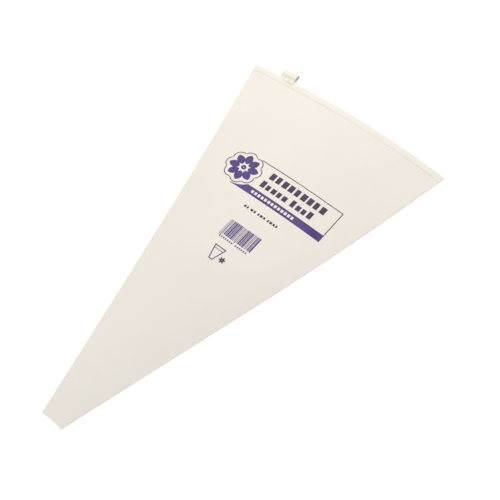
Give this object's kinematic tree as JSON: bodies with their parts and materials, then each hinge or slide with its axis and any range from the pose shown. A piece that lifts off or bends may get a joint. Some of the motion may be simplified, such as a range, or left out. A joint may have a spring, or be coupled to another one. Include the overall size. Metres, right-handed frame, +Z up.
{
  "type": "piping bag",
  "caption": "Flat-lying conical pastry piping bag of coated nylon cloth with a turned hem at the mouth, a side seam, a cut tip and a sewn hanging loop.",
  "frame": {"origin": "on the surface that the bag lies on, under the middle of its overall length and of its mouth's width", "axes": "+Y from the tip to the mouth, +X to the side seam, +Z up out of the printed front"},
  "size_m": [0.1906, 0.3441, 0.0081],
  "materials": {
    "cloth": "satin",
    "hem_cloth": "satin",
    "tape": "matte",
    "thread": "satin",
    "ink": "matte"
  },
  "bodies": {
    "bag": {"back_panel": "cloth", "front_panel": "cloth", "side_seam": "cloth", "side_seam_stitches": "thread", "printed_label": "ink"},
    "mouth_end": {"back_panel_mouth_end": "cloth", "front_panel_mouth_end": "cloth", "side_seam_mouth_end": "cloth", "side_seam_stitches_mouth_end": "thread", "mouth_hem_back": "hem_cloth", "mouth_hem_front": "hem_cloth", "hem_stitches_back": "thread", "hem_stitches_front": "thread", "loop_tails": "tape", "loop_bar_tack": "thread"},
    "loop": {"hanging_loop": "tape"},
    "tip_end": {"back_panel_tip_end": "cloth", "front_panel_tip_end": "cloth", "side_seam_tip_end": "cloth", "side_seam_stitches_tip_end": "thread"}
  },
  "joints": [
    {"name": "mouth_fold", "type": "hinge", "parent": "bag", "child": "mouth_end", "pos_m": [0, 0.0959, 0.0071], "axis": [1, 0, 0], "range_deg": [0, 150]},
    {"name": "tip_fold", "type": "hinge", "parent": "bag", "child": "tip_end", "pos_m": [0, -0.1121, 0.0052], "axis": [-1, 0, 0], "range_deg": [0, 150]},
    {"name": "loop_swing", "type": "hinge", "parent": "mouth_end", "child": "loop", "pos_m": [-0.0628, 0.1628, 0.00559], "axis": [0.9965, 0.0472, 0.0695], "range_deg": [0, 130]}
  ]
}
